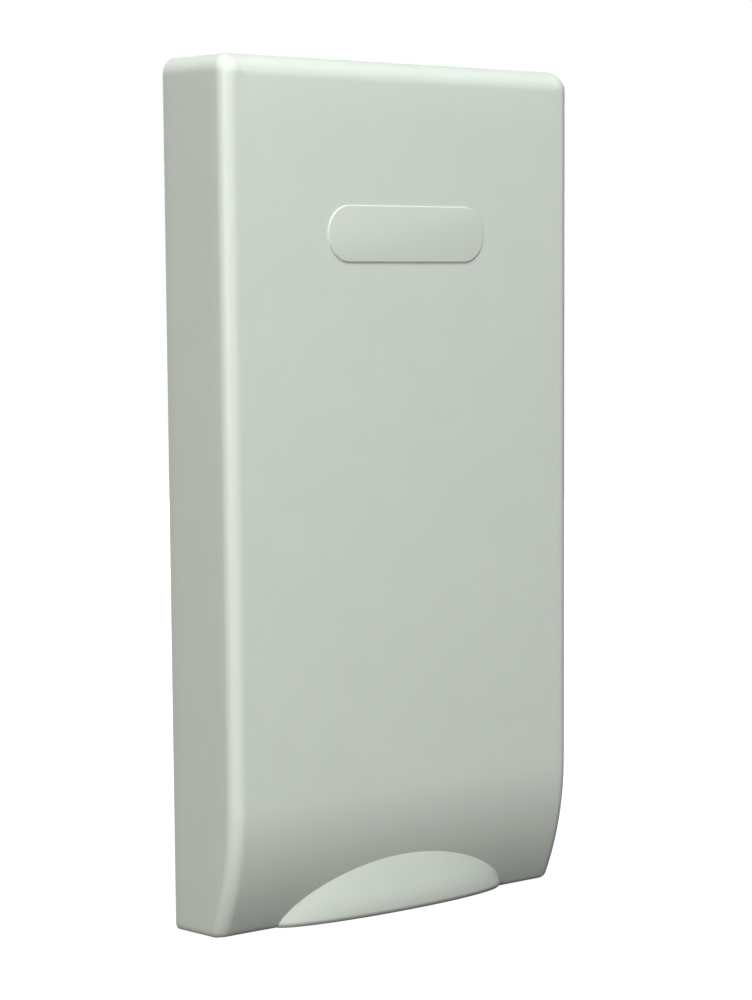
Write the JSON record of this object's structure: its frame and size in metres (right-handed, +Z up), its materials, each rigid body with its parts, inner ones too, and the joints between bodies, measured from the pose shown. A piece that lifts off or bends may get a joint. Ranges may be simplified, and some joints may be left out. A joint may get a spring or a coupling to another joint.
{
  "type": "wall cowl with pull-off cover",
  "caption": "Vehicle water heater wall cowl, closed by a slim moulded cover with a swept-back foot and a finger grip; the cover tilts on a rod and lifts off.",
  "frame": {"origin": "centre of the rectangle of corner wall screws, on the outside face of the wall", "axes": "+Z up, +Y into the wall, -Y outwards to the front of the cover, +X to the right seen from in front"},
  "size_m": [0.133, 0.0749, 0.245],
  "materials": {
    "cover_plastic": "satin moulded off-white",
    "frame_plastic": "fine moulded grain, off-white",
    "grille_plastic": "fine moulded grain, light grey",
    "stainless": "rolled stainless sheet",
    "screen_wire": "woven stainless wire",
    "rod_steel": "drawn stainless wire",
    "screw_steel": "bright stainless",
    "foam": "closed-cell black foam",
    "heat_felt": "pale mineral-fibre board",
    "silicone": "red-brown silicone",
    "rubber": "matt black rubber"
  },
  "bodies": {
    "cowl": {"wall_frame": "frame_plastic", "wall_gasket": "foam", "collar_seal": "foam", "heat_gasket": "heat_felt", "duct_plate": "stainless", "flue_tube": "stainless", "flue_flange": "stainless", "flue_seal": "silicone", "flue_baffle": "stainless", "divider": "stainless", "intake_screen": "screen_wire", "screen_frame": "stainless", "front_grille": "grille_plastic", "wall_screws": "screw_steel", "plate_screws": "screw_steel", "grille_screws": "screw_steel", "rivets": "screw_steel"},
    "rod": {"hinge_rod": "rod_steel", "rod_caps": "rubber"},
    "cover": {"cover_shell": "cover_plastic", "cover_seal": "foam", "cover_pads": "rubber"}
  },
  "joints": [
    {"name": "cover_lift_off", "type": "slide", "parent": "cowl", "child": "rod", "axis": [0, -0.9397, 0.342], "range_m": [0, 0.06]},
    {"name": "cover_tilt", "type": "hinge", "parent": "rod", "child": "cover", "pos_m": [0, -0.0055, 0.116], "axis": [-1, 0, 0], "range_deg": [0, 20]}
  ]
}
